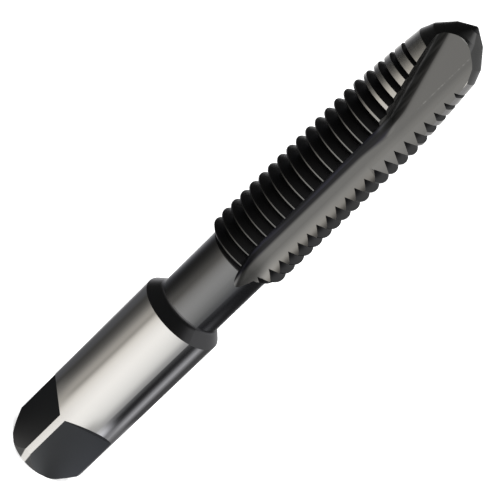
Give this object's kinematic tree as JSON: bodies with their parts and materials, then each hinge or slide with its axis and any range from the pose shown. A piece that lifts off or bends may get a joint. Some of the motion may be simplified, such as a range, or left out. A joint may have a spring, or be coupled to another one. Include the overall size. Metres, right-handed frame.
{
  "type": "thread tap",
  "caption": "Straight-flute thread tap with a spiral point, a ground round shank and a square drive end.",
  "frame": {"origin": "centre of the drive end's face, on the tool's axis", "axes": "+Z along the tool's axis to its tip, +X and +Y square to the flats of the drive end"},
  "size_m": [0.0104, 0.0104, 0.0728],
  "materials": {
    "steel": "ground bright on the shank, crests and cutting lands, dark between the threads and on the neck"
  },
  "bodies": {
    "root": {"tap": "steel"}
  },
  "joints": []
}
